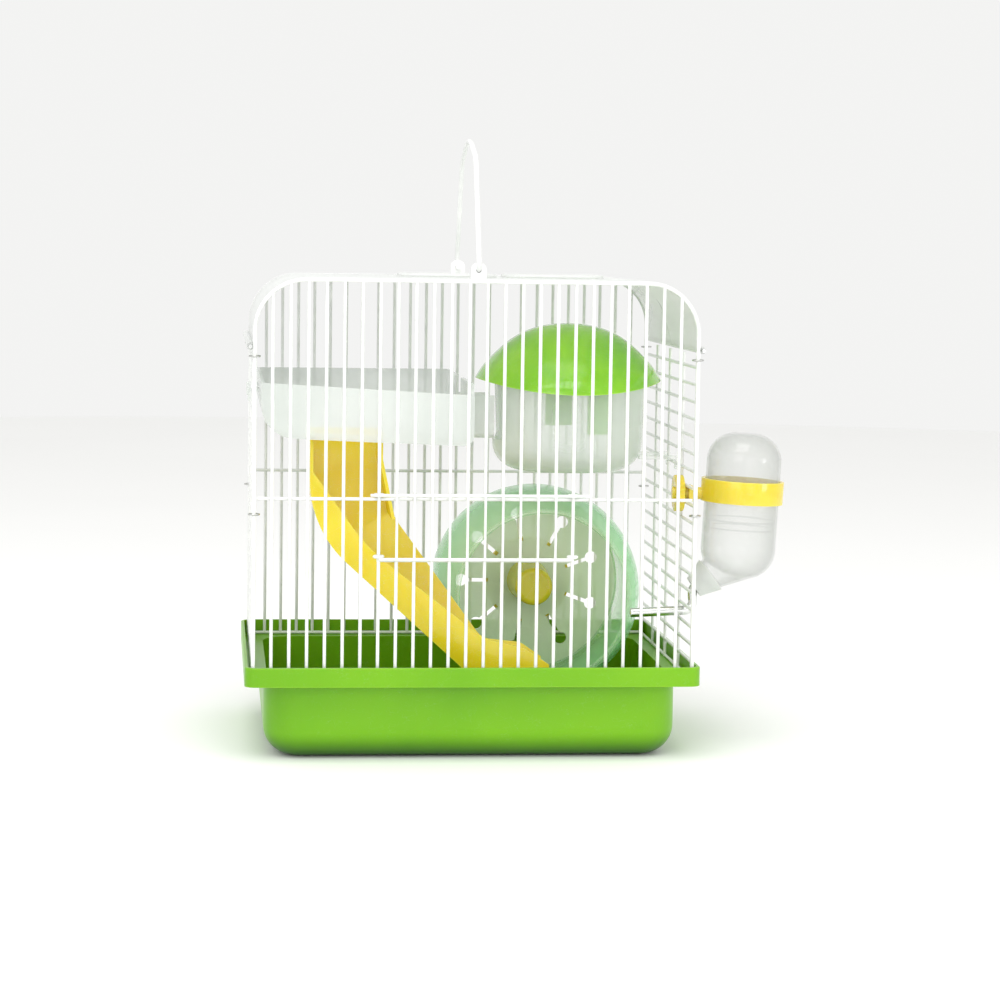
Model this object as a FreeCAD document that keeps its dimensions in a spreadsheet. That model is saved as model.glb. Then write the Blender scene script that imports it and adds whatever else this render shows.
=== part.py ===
import FreeCAD, Part
import math
import os
import Sketcher

os.makedirs("parts", exist_ok=True)
doc = FreeCAD.newDocument("HamsterCage")
V = FreeCAD.Vector
Rot = FreeCAD.Rotation

# Driving sizes in millimetres. Origin: bottom centre of the tray, +Z up, door towards -Y.
sizes = {
    # tray
    "tray_width": 270, "tray_depth": 210, "tray_height": 56.5, "tray_inset": 11.5,
    "tray_wall": 2.2, "tray_floor": 2.4, "tray_corner": 22, "tray_edge": 18,
    "rim_height": 11.4, "rim_wall": 2.0, "rim_corner": 7, "ledge_level": 47.2,
    # wire body
    "wire_dia": 2.0, "frame_dia": 2.4, "wire_pitch": 10.4, "wire_gaps": 25,
    "cage_halfdepth": 100, "cage_top": 283, "corner_bend": 30, "bottom_level": 48.5,
    "brace_level": 155.5, "sill_level": 119.4, "rung_pitch": 10.3, "rung_count": 18,
    "side_post_gap": 50,
    # roof cover and its rods
    "cover_thick": 1.6, "cover_edge": 244.2, "rod_dia": 2.2, "rod_offset": 2.6, "rod_overhang": 4.0,
    # door
    "door_dia": 1.8, "door_top": 158.0, "door_bottom": 120.4, "door_gap": 2.4, "door_travel": 30,
    # carry handle
    "handle_dia": 3.0, "handle_shift": 2.0, "handle_halfspan": 78, "handle_shoulder": 46,
    "handle_axis": 289.4, "handle_bend": 356, "handle_top": 370.5,
    # upper shelf
    "shelf_left": -126, "shelf_right": -1, "shelf_halfdepth": 92, "shelf_rim": 223,
    "shelf_floor": 188.4, "shelf_wall": 2.0, "shelf_bend": 20,
    # sleeping hut
    "hut_shift": 65.5, "hut_radius": 48.5, "hut_bottom": 165.5, "hut_rim": 231.2, "hut_wall": 1.8,
    "roof_radius": 61, "roof_top": 256.4, "roof_wall": 1.8,
    # slide
    "slide_near": -63, "slide_width": 45, "slide_wall": 2.0,
    # running wheel
    "wheel_shift": 51.3, "wheel_level": 86, "wheel_radius": 66, "wheel_mouth": 54.6,
    "wheel_front": -10, "wheel_back": 80, "wheel_wall": 1.8, "axle_dia": 8.0, "axle_play": 0.1,
    "hub_radius": 13, "hub_front": 41, "plate_radius": 28,
    # water bottle
    "bottle_shift": 164.8, "bottle_row": -63, "bottle_radius": 22.6, "bottle_top": 193.4,
    "bottle_low": 124, "bottle_wall": 1.2, "bottle_lean": 2.8, "band_level": 156.65,
    "neck_drop": 3.5, "band_height": 13.6, "band_rise": 1.5, "band_wall": 2.0, "stud_dia": 7.4, "nut_radius": 11, "tube_dia": 5.6,
    "tube_bore": 4.0, "ball_dia": 3.6, "spout_tip": 98,
}
sheet = doc.addObject("Spreadsheet::Sheet", "Sizes")
for row, (alias, value) in enumerate(sizes.items(), start=1):
    sheet.set("A%d" % row, alias)
    sheet.set("B%d" % row, str(value))
    sheet.setAlias("B%d" % row, alias)
doc.recompute()


def size(alias):
    return float(sheet.get(alias))


exported = []


def newBody(label):
    body = doc.addObject("PartDesign::Body", label)
    body.Label = label
    body.AllowCompound = True
    exported.append(body)
    return body


def planeOf(body, role):
    return next(f for f in body.Origin.OriginFeatures if f.Role == role)


def newSketch(body, name, role, level=None):
    """Sketch on one of the body's own origin planes, raised by a sheet expression."""
    sketch = body.newObject("Sketcher::SketchObject", name)
    sketch.AttachmentSupport = [(planeOf(body, role), "")]
    sketch.MapMode = "FlatFace"
    if level is not None:
        sketch.setExpression("AttachmentOffset.Base.z", level)
    return sketch


def addCircle(sketch, cx, cy, radius):
    """Circle at a point, its radius bound to the sheet."""
    index = sketch.addGeometry(Part.Circle(V(cx, cy, 0), V(0, 0, 1), 1.0))
    number = sketch.addConstraint(Sketcher.Constraint("Radius", index, 1.0))
    sketch.addConstraint(Sketcher.Constraint("DistanceX", -1, 1, index, 3, cx))
    sketch.addConstraint(Sketcher.Constraint("DistanceY", -1, 1, index, 3, cy))
    name = "radius%d" % index
    sketch.renameConstraint(number, name)
    sketch.setExpression("Constraints." + name, radius)
    return index


def addRoundedBox(sketch, width, depth, radius):
    """Centred rounded rectangle, all three sizes bound to the sheet."""
    halfW, halfD, r = 50.0, 40.0, 5.0
    corners = [(1, -1, 270), (1, 1, 0), (-1, 1, 90), (-1, -1, 180)]
    geometry = []
    for sx, sy, start in corners:
        centre = V(sx * (halfW - r), sy * (halfD - r), 0)
        a0 = math.radians(start)
        arc = Part.ArcOfCircle(Part.Circle(centre, V(0, 0, 1), r), a0, a0 + math.pi / 2)
        geometry.append(arc)
    lines = []
    for k in range(4):
        lines.append(Part.LineSegment(geometry[k - 1].EndPoint, geometry[k].StartPoint))
    order = []
    for k in range(4):
        order += [lines[k], geometry[k]]
    base = sketch.addGeometry(order[0])
    for item in order[1:]:
        sketch.addGeometry(item)
    C = Sketcher.Constraint
    for k in range(8):
        sketch.addConstraint(C("Tangent", base + k, 2, base + (k + 1) % 8, 1))
    for k, kind in ((0, "Horizontal"), (2, "Vertical"), (4, "Horizontal"), (6, "Vertical")):
        sketch.addConstraint(C(kind, base + k))
    for k in (3, 5, 7):
        sketch.addConstraint(C("Equal", base + 1, base + k))
    sketch.addConstraint(C("Symmetric", base + 1, 3, base + 5, 3, -1, 1))
    names = (("corner", C("Radius", base + 1, r), radius),
             ("width", C("DistanceX", base + 6, 1, base + 2, 1, 2 * halfW), width),
             ("depth", C("DistanceY", base + 0, 1, base + 4, 1, 2 * halfD), depth))
    for name, constraint, expression in names:
        number = sketch.addConstraint(constraint)
        sketch.renameConstraint(number, name)
        sketch.setExpression("Constraints." + name, expression)


def roundedPath(points, bends):
    """Lines and tangent arcs through the points; bends maps a point index to its radius."""
    pts = [V(p[0], p[1], 0) for p in points]
    closed = (pts[0] - pts[-1]).Length < 1e-9
    if closed:
        pts = pts[:-1]
    n = len(pts)
    pieces, ends = [], {}
    arcs = {}
    for i, r in bends.items():
        before, here, after = pts[(i - 1) % n], pts[i], pts[(i + 1) % n]
        d1, d2 = (before - here).normalize(), (after - here).normalize()
        half = d1.getAngle(d2) / 2
        cut = r / math.tan(half)
        centre = here + (d1 + d2).normalize() * (r / math.sin(half))
        p1, p2 = here + d1 * cut, here + d2 * cut
        a1 = math.atan2(p1.y - centre.y, p1.x - centre.x)
        a2 = math.atan2(p2.y - centre.y, p2.x - centre.x)
        if (a2 - a1) % (2 * math.pi) > math.pi:
            a1, a2 = a2, a1
        a2 = a1 + (a2 - a1) % (2 * math.pi)
        arcs[i] = Part.ArcOfCircle(Part.Circle(centre, V(0, 0, 1), r), a1, a2)
        ends[i] = (p1, p2)
    count = n if closed else n - 1
    for i in range(count):
        j = (i + 1) % n
        a = ends[i][1] if i in ends else pts[i]
        b = ends[j][0] if j in ends else pts[j]
        if (a - b).Length > 1e-6:
            pieces.append(Part.LineSegment(a, b))
        if j in arcs:
            pieces.append(arcs[j])
    return pieces


def joinPieces(sketch, pieces, closed):
    """Draw the pieces in order and tie each end to the next start."""
    first = None
    for piece in pieces:
        index = sketch.addGeometry(piece)
        first = index if first is None else first
    total = len(pieces)
    for k in range(total if closed else total - 1):
        here, there = first + k, first + (k + 1) % total
        ga, gb = sketch.Geometry[here], sketch.Geometry[there]
        best = min(((pa - pb).Length, ca, cb)
                   for ca, pa in ((1, ga.StartPoint), (2, ga.EndPoint))
                   for cb, pb in ((1, gb.StartPoint), (2, gb.EndPoint)))
        sketch.addConstraint(Sketcher.Constraint("Coincident", here, best[1], there, best[2]))


def addPath(sketch, points, bends=None):
    """Draw a polyline with rounded corners; it is closed when the last point is the first."""
    pieces = roundedPath(points, bends or {})
    joinPieces(sketch, pieces, (V(*points[0], 0) - V(*points[-1], 0)).Length < 1e-9)


def offsetLine(points, distance):
    """The same polyline moved sideways to its left by the distance."""
    result = []
    for i, p in enumerate(points):
        here = V(p[0], p[1], 0)
        normals = []
        for a, b in ((i - 1, i), (i, i + 1)):
            if 0 <= a and b < len(points):
                d = (V(points[b][0], points[b][1], 0) - V(points[a][0], points[a][1], 0)).normalize()
                normals.append(V(-d.y, d.x, 0))
        total = normals[0] if len(normals) == 1 else (normals[0] + normals[1]).normalize()
        moved = here + total * (distance / total.dot(normals[0]))
        result.append((moved.x, moved.y))
    return result


def shellProfile(sketch, points, wall, inward):
    """Closed thin section: a smooth curve through the points and its twin one wall away."""
    outerLine = [V(p[0], p[1], 0) for p in points]
    twin = [V(p[0], p[1], 0) for p in offsetLine(points, inward * wall)]
    curves = []
    for line in (outerLine, twin):
        if abs(points[0][0]) < 1e-9:
            line[0] = V(0, line[0].y, 0)
        curve = Part.BSplineCurve()
        curve.interpolate(line)
        curves.append(curve)
    joinPieces(sketch, [curves[0], Part.LineSegment(outerLine[-1], twin[-1]), curves[1],
                        Part.LineSegment(twin[0], outerLine[0])], True)


def pad(body, name, sketch, length, reverse=False, symmetric=False):
    feature = body.newObject("PartDesign::Pad", name)
    feature.Profile = sketch
    feature.setExpression("Length", length)
    feature.Reversed = reverse
    if symmetric:
        feature.SideType = "Symmetric"
    doc.recompute()
    return feature


def pocket(body, name, sketch, length, reverse=False, symmetric=False):
    before = body.Shape.Volume
    feature = body.newObject("PartDesign::Pocket", name)
    feature.Profile = sketch
    feature.setExpression("Length", length)
    feature.Reversed = reverse
    if symmetric:
        feature.SideType = "Symmetric"
    doc.recompute()
    assert body.Shape.Volume < before - 1e-3, name + " removed nothing"
    return feature


def revolve(body, name, sketch):
    feature = body.newObject("PartDesign::Revolution", name)
    feature.Profile = sketch
    feature.ReferenceAxis = (sketch, ["V_Axis"])
    feature.Angle = 360.0
    doc.recompute()
    return feature


def pipe(body, name, profile, spine):
    feature = body.newObject("PartDesign::AdditivePipe", name)
    feature.Profile = profile
    feature.Spine = spine
    doc.recompute()
    return feature


def rowOf(body, name, feature, role, length, count):
    pattern = body.newObject("PartDesign::LinearPattern", name)
    pattern.Originals = [feature]
    pattern.Direction = (planeOf(body, role), [""])
    pattern.setExpression("Length", length)
    pattern.Occurrences = count
    body.Tip = pattern
    doc.recompute()
    return pattern


def ringOf(body, name, feature, count):
    pattern = body.newObject("PartDesign::PolarPattern", name)
    pattern.Originals = [feature]
    pattern.Axis = (planeOf(body, "Z_Axis"), [""])
    pattern.Angle = 360
    pattern.Occurrences = count
    body.Tip = pattern
    doc.recompute()
    return pattern


def roundEdges(body, name, radius, pick):
    """Fillet the edges of the body's present shape that pick() accepts."""
    tip = body.Tip
    edges = ["Edge%d" % (i + 1) for i, e in enumerate(tip.Shape.Edges) if pick(e)]
    assert edges, name + " found no edges"
    feature = body.newObject("PartDesign::Fillet", name)
    feature.Base = (tip, edges)
    feature.setExpression("Radius", radius)
    doc.recompute()
    return feature


def place(item, x="0", y="0", z="0", rotation=None):
    """Placement bound to the sheet, with a fixed turn."""
    if rotation is not None:
        item.Placement = FreeCAD.Placement(V(0, 0, 0), rotation)
    for axis, expression in (("x", x), ("y", y), ("z", z)):
        item.setExpression("Placement.Base." + axis, expression)


def group(label, shapes):
    """One node made of several separate identical solids."""
    item = doc.addObject("Part::Feature", label)
    item.Label = label
    item.Shape = Part.makeCompound(shapes)
    exported.append(item)
    return item


# ---------------------------------------------------------------- tray
tray = newBody("base_tray")
outline = newSketch(tray, "tray_outline", "XY_Plane")
addRoundedBox(outline, "Sizes.tray_width - 2 * Sizes.tray_inset",
              "Sizes.tray_depth - 2 * Sizes.tray_inset", "Sizes.tray_corner")
pad(tray, "tray_block", outline, "Sizes.ledge_level")
flange = newSketch(tray, "rim_outline", "XY_Plane", "Sizes.tray_height - Sizes.rim_height")
addRoundedBox(flange, "Sizes.tray_width", "Sizes.tray_depth", "Sizes.rim_corner")
pad(tray, "rim_block", flange, "Sizes.rim_height")
cavity = newSketch(tray, "tray_cavity", "XY_Plane", "Sizes.tray_floor")
addRoundedBox(cavity, "Sizes.tray_width - 2 * Sizes.tray_inset - 2 * Sizes.tray_wall",
              "Sizes.tray_depth - 2 * Sizes.tray_inset - 2 * Sizes.tray_wall",
              "Sizes.tray_corner - Sizes.tray_wall")
pocket(tray, "tray_hollow", cavity, "Sizes.tray_height", reverse=True)
floorLevel = size("tray_floor")
roundEdges(tray, "tray_inner_round", "Sizes.tray_edge - Sizes.tray_wall",
           lambda e: all(abs(v.Z - floorLevel) < 1e-6 for v in e.Vertexes))
roundEdges(tray, "tray_foot_round", "Sizes.tray_edge",
           lambda e: all(abs(v.Z) < 1e-6 for v in e.Vertexes))
channel = newSketch(tray, "rim_channel", "XY_Plane", "Sizes.ledge_level")
addRoundedBox(channel, "Sizes.tray_width - 2 * Sizes.rim_wall",
              "Sizes.tray_depth - 2 * Sizes.rim_wall", "Sizes.rim_corner - Sizes.rim_wall")
pocket(tray, "rim_hollow", channel, "Sizes.tray_height", reverse=True)
rimTop = size("tray_height")
halfWidth = size("tray_width") / 2
roundEdges(tray, "rim_lip_round", "0.8",
           lambda e: all(abs(v.Z - rimTop) < 1e-6 for v in e.Vertexes)
           and (abs(e.BoundBox.XMax) > halfWidth - 0.1 or abs(e.BoundBox.XMin) > halfWidth - 0.1
                or abs(e.BoundBox.YMax) > size("tray_depth") / 2 - 0.1
                or abs(e.BoundBox.YMin) > size("tray_depth") / 2 - 0.1))

# ---------------------------------------------------------------- front and back wire panels
halfCage = size("wire_pitch") * size("wire_gaps") / 2
bend = size("corner_bend")
top = size("cage_top")
bottom = size("bottom_level")
pitch = size("wire_pitch")


def wireX(index):
    return -halfCage + index * pitch


def frameHeight(x):
    """Height of the frame wire above a place across the panel."""
    beyond = abs(x) - (halfCage - bend)
    return top if beyond <= 0 else top - bend + math.sqrt(bend * bend - beyond * beyond)


def posts(body, name, index, count, low, high):
    sketch = newSketch(body, name + "_section", "XY_Plane", "%s" % low)
    addCircle(sketch, wireX(index), 0, "Sizes.wire_dia / 2")
    feature = pad(body, name + "_post", sketch, "%s - %s" % (high, low))
    if count > 1:
        rowOf(body, name + "_row", feature, "X_Axis", "Sizes.wire_pitch * %d" % (count - 1), count)


def crossWire(body, name, level, back, halfLength, radius="Sizes.wire_dia / 2"):
    """Level wire across the panel, set back by an offset along Y."""
    sketch = newSketch(body, name + "_section", "YZ_Plane")
    addCircle(sketch, back, level, radius)
    pad(body, name + "_wire", sketch, "2 * " + halfLength, symmetric=True)


def wirePanel(label, inward, doorway):
    body = newBody(label)
    spine = newSketch(body, label + "_spine", "XZ_Plane")
    addPath(spine, [(-halfCage, bottom), (-halfCage, top), (halfCage, top), (halfCage, bottom)],
            {1: bend, 2: bend})
    section = newSketch(body, label + "_frame_section", "XY_Plane", "Sizes.bottom_level")
    addCircle(section, -halfCage, 0, "Sizes.frame_dia / 2")
    pipe(body, label + "_frame", section, spine)
    crossWire(body, label + "_foot", bottom, 0, "Sizes.wire_pitch * Sizes.wire_gaps / 2")
    crossWire(body, label + "_brace", size("brace_level"), inward * 1.7,
              "(Sizes.wire_pitch * Sizes.wire_gaps / 2 - 1.7)")
    low = "Sizes.bottom_level"
    for side, first in (("left", 1), ("right", 24)):
        posts(body, "%s_%s_outer" % (label, side), first, 1, low, "%.4f" % frameHeight(wireX(first)))
    for side, first in (("left", 2), ("right", 23)):
        posts(body, "%s_%s_second" % (label, side), first, 1, low, "%.4f" % frameHeight(wireX(first)))
    if doorway:
        crossWire(body, label + "_sill", size("sill_level"), inward * 1.7, "(Sizes.wire_pitch * 5.6)")
        posts(body, label + "_left_run", 3, 5, low, "Sizes.cage_top")
        posts(body, label + "_right_run", 18, 5, low, "Sizes.cage_top")
        posts(body, label + "_under_door", 8, 10, low, "(Sizes.sill_level + 0.8)")
        posts(body, label + "_over_door", 8, 10, "(Sizes.brace_level - 0.8)", "Sizes.cage_top")
    else:
        posts(body, label + "_run", 3, 20, low, "Sizes.cage_top")
    return body


frontPanel = wirePanel("front_panel", 1, True)
place(frontPanel, y="-Sizes.cage_halfdepth")
backPanel = wirePanel("back_panel", -1, False)
place(backPanel, y="Sizes.cage_halfdepth")

# ---------------------------------------------------------------- side wire panels


def sidePanel(label, side):
    body = newBody(label)
    halfLength = size("cage_halfdepth") - size("frame_dia") / 2 - 0.4
    postTop = size("cover_edge") - 2.7
    for k, y in enumerate((-halfLength + 1, -size("side_post_gap"), 0, size("side_post_gap"),
                           halfLength - 1)):
        sketch = newSketch(body, "%s_post%d_section" % (label, k), "XY_Plane", "Sizes.bottom_level - 1")
        addCircle(sketch, 0, y, "Sizes.wire_dia / 2")
        pad(body, "%s_post%d" % (label, k), sketch, "%.4f - Sizes.bottom_level" % (postTop + 1))
    sketch = newSketch(body, label + "_rung_section", "XZ_Plane")
    addCircle(sketch, 0, bottom, "Sizes.wire_dia / 2")
    rung = pad(body, label + "_rung", sketch, "%.4f" % (2 * halfLength), symmetric=True)
    rowOf(body, label + "_rungs", rung, "Z_Axis", "Sizes.rung_pitch * Sizes.rung_count",
          int(size("rung_count")) + 1)
    place(body, x="%d * Sizes.wire_pitch * Sizes.wire_gaps / 2" % side)
    return body


leftPanel = sidePanel("left_panel", -1)
rightPanel = sidePanel("right_panel", 1)

# ---------------------------------------------------------------- roof cover and edge rods
cover = newBody("roof_cover")
outer = halfCage + size("frame_dia") / 2
inner = outer - size("cover_thick")
skin = newSketch(cover, "cover_section", "XZ_Plane")
edge = size("cover_edge")
outerTop = top + size("frame_dia") / 2
innerTop = outerTop - size("cover_thick")
outerBend = bend + size("frame_dia") / 2
addPath(skin, [(-outer, edge), (-outer, outerTop), (outer, outerTop), (outer, edge),
               (inner, edge), (inner, innerTop), (-inner, innerTop), (-inner, edge), (-outer, edge)],
        {1: outerBend, 2: outerBend, 5: outerBend - size("cover_thick"),
         6: outerBend - size("cover_thick")})
coverLength = "2 * (Sizes.cage_halfdepth - Sizes.frame_dia / 2 - 0.3)"
pad(cover, "cover_skin", skin, coverLength, symmetric=True)
hem = newSketch(cover, "hem_section", "XZ_Plane")
rodX = halfCage + size("rod_offset")
for sx in (-1, 1):
    addCircle(hem, sx * rodX, edge, "Sizes.rod_dia / 2 + 1.1")
pad(cover, "cover_hem", hem, coverLength, symmetric=True)
bore = newSketch(cover, "hem_bore", "XZ_Plane")
for sx in (-1, 1):
    addCircle(bore, sx * rodX, edge, "Sizes.rod_dia / 2 + 0.1")
pocket(cover, "hem_hole", bore, "2 * Sizes.cage_halfdepth", symmetric=True)
for k, (x0, x1) in enumerate(((-41, 19), (24, 85))):
    raised = newSketch(cover, "roof_pad%d_outline" % k, "XY_Plane",
                       "Sizes.cage_top + Sizes.frame_dia / 2 - 0.6")
    r = 13
    addPath(raised, [(x0, -26), (x1, -26), (x1, 26), (x0, 26), (x0, -26)], {0: r, 1: r, 2: r, 3: r})
    feature = pad(cover, "roof_pad%d" % k, raised, "2.8")
padTop = outerTop - 0.6 + 2.8
roundEdges(cover, "roof_pad_round", "1.6",
           lambda e: all(abs(v.Z - padTop) < 1e-6 for v in e.Vertexes))
rods = []
rodReach = size("cage_halfdepth") + size("rod_overhang")
for sx in (-1, 1):
    rods.append(Part.makeCylinder(size("rod_dia") / 2, 2 * rodReach, V(sx * rodX, -rodReach, edge),
                                  V(0, 1, 0)))
group("edge_rods", rods)

# ---------------------------------------------------------------- hog rings at the panel corners
rings = []
ringTube = 0.55
frameHalf, postHalf = size("frame_dia") / 2, size("wire_dia") / 2
ringInner = (size("frame_dia") + 0.4 + size("wire_dia")) / 2 + 0.05
ringY = size("cage_halfdepth") + frameHalf - ringInner + 0.05
for sx in (-1, 1):
    for sy in (-1, 1):
        for level in (size("brace_level") - 9.2, size("cover_edge") - 5.8):
            rings.append(Part.makeTorus(ringInner + ringTube, ringTube, V(sx * halfCage, sy * ringY, level)))
group("hog_rings", rings)

# ---------------------------------------------------------------- carry handle and its two eyes
shift, axisLevel, span = size("handle_shift"), size("handle_axis"), size("handle_halfspan")
pinRadius = size("handle_dia") / 2
eyes = []
for sy in (-1, 1):
    eyeY = sy * (span - 6.5)
    eye = Part.makeBox(9, 6, axisLevel - outerTop, V(shift - 4.5, eyeY - 3, outerTop))
    eye = eye.fuse(Part.makeCylinder(4.5, 6, V(shift, eyeY - 3, axisLevel), V(0, 1, 0)))
    eye = eye.cut(Part.makeCylinder(pinRadius + 0.1, 8, V(shift, eyeY - 4, axisLevel), V(0, 1, 0)))
    eyes.append(eye.removeSplitter())
group("handle_eyes", eyes)

handle = newBody("carry_handle")
spine = newSketch(handle, "handle_spine", "YZ_Plane")
shoulder, bendLevel, apex = size("handle_shoulder"), size("handle_bend"), size("handle_top")
addPath(spine, [(-span + 12, 0), (-span, 0), (-shoulder, bendLevel - axisLevel),
                (0, apex - axisLevel), (shoulder, bendLevel - axisLevel), (span, 0), (span - 12, 0)],
        {1: 3.5, 2: 16, 3: 70, 4: 16, 5: 3.5})
section = newSketch(handle, "handle_section", "XZ_Plane", "Sizes.handle_halfspan - 12")
addCircle(section, 0, 0, "Sizes.handle_dia / 2")
pipe(handle, "handle_wire", section, spine)
place(handle, x="Sizes.handle_shift", z="Sizes.handle_axis")

# ---------------------------------------------------------------- sliding front door
door = newBody("front_door")
firstGuide, lastGuide = wireX(7), wireX(18)
ringLift = 1.4


def doorCross(name, level, start, stop):
    sketch = newSketch(door, name + "_section", "YZ_Plane", "%.4f" % start)
    addCircle(sketch, 0, level, "Sizes.door_dia / 2")
    pad(door, name, sketch, "%.4f" % (stop - start))


doorCross("door_top_wire", size("door_top"), firstGuide - 5.1, lastGuide + 9.8)
doorCross("door_bottom_wire", size("door_bottom"), firstGuide + 0.2, lastGuide - 0.2)
bars = newSketch(door, "door_bar_section", "XY_Plane", "Sizes.door_bottom")
addCircle(bars, wireX(8), 0, "Sizes.door_dia / 2 - 0.12")
bar = pad(door, "door_bar", bars, "Sizes.door_top - Sizes.door_bottom")
rowOf(door, "door_bars", bar, "X_Axis", "Sizes.wire_pitch * 9", 10)
for k, (x, level) in enumerate(((firstGuide, size("door_top")), (lastGuide, size("door_top")),
                                (firstGuide, size("door_bottom") + ringLift),
                                (lastGuide, size("door_bottom") + ringLift))):
    loop = door.newObject("PartDesign::AdditiveTorus", "door_loop%d" % k)
    loop.setExpression("Radius1", "Sizes.door_gap")
    loop.setExpression("Radius2", "Sizes.door_dia / 2 + 0.1")
    loop.Placement = FreeCAD.Placement(V(x, size("door_gap"), level), Rot())
    doc.recompute()
place(door, y="-Sizes.cage_halfdepth - Sizes.door_gap")

# ---------------------------------------------------------------- upper shelf
shelf = newBody("shelf_tub")
left, right, rim = size("shelf_left"), size("shelf_right"), size("shelf_rim")
floorLeft, floorRight = size("shelf_floor") + 2.2, size("shelf_floor") - 2.4
wall, curve = size("shelf_wall"), size("shelf_bend")
lowLine = [(left, rim), (left, floorLeft), (right, floorRight), (right, rim)]
sketch = newSketch(shelf, "shelf_outline", "XZ_Plane")
addPath(sketch, lowLine + [lowLine[0]], {1: curve, 2: 6})
pad(shelf, "shelf_block", sketch, "2 * Sizes.shelf_halfdepth", symmetric=True)
sketch = newSketch(shelf, "shelf_inside", "XZ_Plane")
upLine = offsetLine(lowLine, wall)
upLine[0], upLine[3] = (upLine[0][0], rim + 1), (upLine[3][0], rim + 1)
addPath(sketch, upLine + [upLine[0]], {1: curve - wall, 2: 4})
pocket(shelf, "shelf_hollow", sketch, "2 * (Sizes.shelf_halfdepth - Sizes.shelf_wall)", symmetric=True)
sketch = newSketch(shelf, "shelf_front_slope", "XZ_Plane", "Sizes.shelf_halfdepth + 1")
addPath(sketch, [(left - 1, rim + 2), (left - 1, rim - 0.4), (right + 1, rim - 6.9), (right + 1, rim + 2),
                 (left - 1, rim + 2)])
pocket(shelf, "shelf_front_cut", sketch, "Sizes.shelf_wall + 1")
chuteLeft, chuteRight = -96.3, -52.8
near, width = size("slide_near"), size("slide_width")
sketch = newSketch(shelf, "shelf_hole_outline", "XY_Plane", "Sizes.shelf_floor - 12")
hole = [(chuteLeft - 0.4, near - 0.4), (chuteRight + 0.4, near - 0.4),
        (chuteRight + 0.4, near + width + 0.4), (chuteLeft - 0.4, near + width + 0.4)]
addPath(sketch, hole + [hole[0]])
pocket(shelf, "shelf_hole", sketch, "24", reverse=True)
bridgeHalf, bridgeWall = 19.0, 1.6
bridgeFloor, bridgeTop = floorRight - 0.2, floorRight + 26
sketch = newSketch(shelf, "bridge_section", "YZ_Plane", "Sizes.shelf_right - 1")
addPath(sketch, [(-bridgeHalf, bridgeTop), (-bridgeHalf, bridgeFloor), (bridgeHalf, bridgeFloor),
                 (bridgeHalf, bridgeTop), (bridgeHalf - bridgeWall, bridgeTop),
                 (bridgeHalf - bridgeWall, bridgeFloor + 1.8), (-bridgeHalf + bridgeWall, bridgeFloor + 1.8),
                 (-bridgeHalf + bridgeWall, bridgeTop), (-bridgeHalf, bridgeTop)], {1: 4, 2: 4})
pad(shelf, "bridge", sketch, "20")
sketch = newSketch(shelf, "bridge_door_outline", "YZ_Plane", "Sizes.shelf_right - 4")
half = bridgeHalf - bridgeWall
addPath(sketch, [(-half, rim + 1), (-half, bridgeFloor + 2.1), (half, bridgeFloor + 2.1), (half, rim + 1),
                 (-half, rim + 1)])
pocket(shelf, "bridge_door", sketch, "6", reverse=True)


def wallHooks(body, name, start, side, rungLevel, places, width):
    """Hooks over one rung of a side panel, drawn in the body's own frame."""
    wallX = side * halfCage
    tip = wallX + side * 3.2
    low = rungLevel + 1.3
    sketch = newSketch(body, name + "_outline", "XZ_Plane", "%.4f" % (width / 2 - places[0]))
    hook = [(start, low), (start, low + 2), (tip, low + 2), (tip, low - 6), (tip - side * 1.8, low - 6),
            (tip - side * 1.8, low), (start, low)]
    addPath(sketch, hook)
    feature = pad(body, name, sketch, "%.4f" % width, reverse=True)
    rowOf(body, name + "_pair", feature, "Y_Axis", "%.4f" % (places[1] - places[0]), 2)


rung = size("rung_pitch")
wallHooks(shelf, "shelf_hook", left + 1, -1, bottom + 16 * rung, (-30, 30), 8)

# ---------------------------------------------------------------- sleeping hut bowl
bowl = newBody("hut_bowl")
radius, low, high, wall = size("hut_radius"), size("hut_bottom"), size("hut_rim"), size("hut_wall")
sketch = newSketch(bowl, "bowl_section", "XZ_Plane")
addPath(sketch, [(0, low), (radius - 2.6, low), (radius, high), (radius - wall, high),
                 (radius - 2.6 - wall, low + wall), (0, low + wall), (0, low)],
        {1: 17, 4: 17 - wall})
revolve(bowl, "bowl_shell", sketch)
sketch = newSketch(bowl, "bowl_door_outline", "YZ_Plane", "-Sizes.hut_radius - 2")
gap = bridgeHalf + 1
addPath(sketch, [(-gap, high + 2), (-gap, bridgeFloor - 1.2), (gap, bridgeFloor - 1.2), (gap, high + 2),
                 (-gap, high + 2)], {1: 4, 2: 4})
pocket(bowl, "bowl_door", sketch, "24", reverse=True)
hutShift = size("hut_shift")
hookLevel = bottom + 12 * rung
sketch = newSketch(bowl, "bowl_hook_outline", "XZ_Plane", "19.5")
tip = halfCage - hutShift + 3.2
base = hookLevel + 1.3
addPath(sketch, [(radius - 5.5, base), (radius - 5.5, base + 2), (tip, base + 2), (tip, base - 6),
                 (tip - 1.8, base - 6), (tip - 1.8, base), (radius - 5.5, base)])
hookPad = pad(bowl, "bowl_hook", sketch, "7", reverse=True)
rowOf(bowl, "bowl_hooks", hookPad, "Y_Axis", "32", 2)
place(bowl, x="Sizes.hut_shift")

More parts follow.
